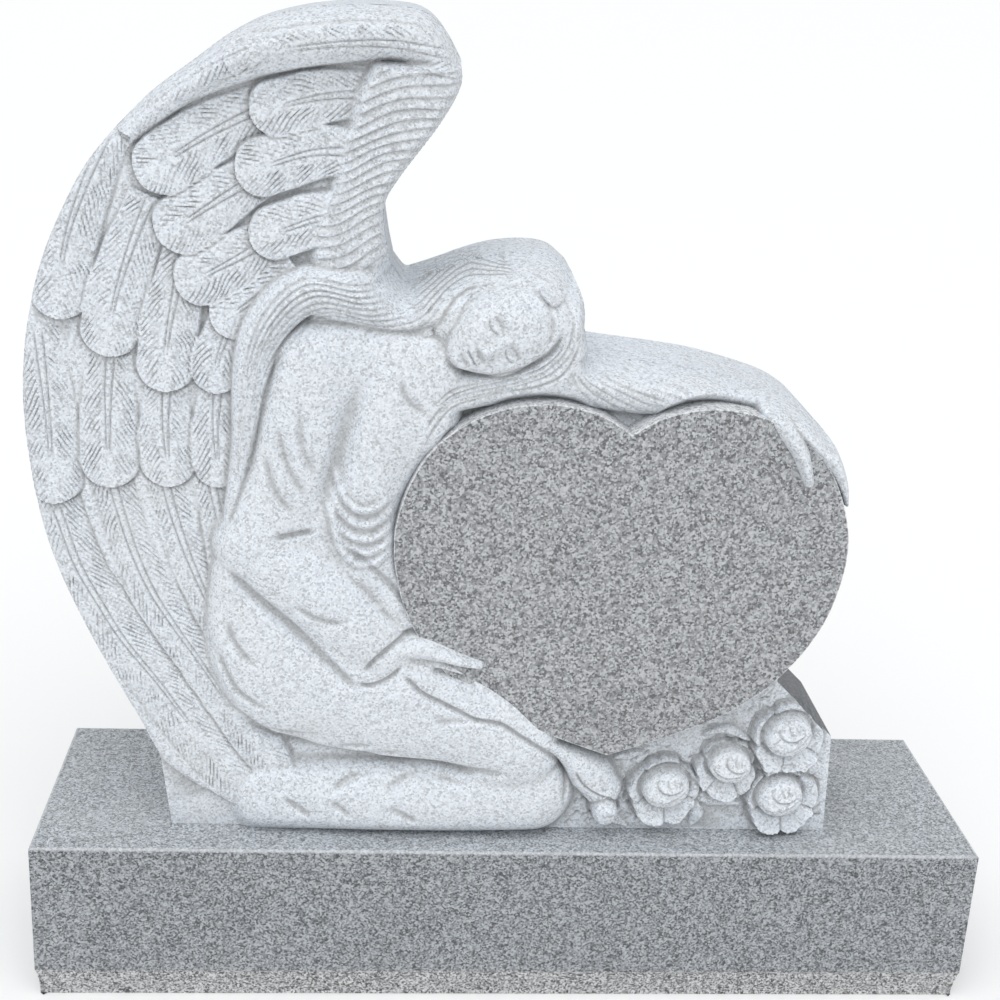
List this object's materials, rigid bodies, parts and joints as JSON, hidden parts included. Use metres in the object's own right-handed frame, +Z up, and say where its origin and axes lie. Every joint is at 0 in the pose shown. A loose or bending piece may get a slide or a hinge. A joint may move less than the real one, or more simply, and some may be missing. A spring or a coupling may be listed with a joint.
{
  "type": "granite monument",
  "caption": "Granite memorial: a kneeling angel with one large wing leans over a polished heart with roses at its foot, carved in one stone on a long block base.",
  "frame": {"origin": "middle of the underside of the base stone", "axes": "+Z up, front of the monument towards -Y, +X towards the roses"},
  "size_m": [1.5, 0.4049, 1.5309],
  "materials": {
    "base_granite": "honed grey granite, with a broken rock face along the foot",
    "carved_granite": "chiselled pale granite, with a polished mid grey heart"
  },
  "bodies": {
    "root": {"base_stone": "base_granite", "angel_stone": "carved_granite"}
  },
  "joints": []
}
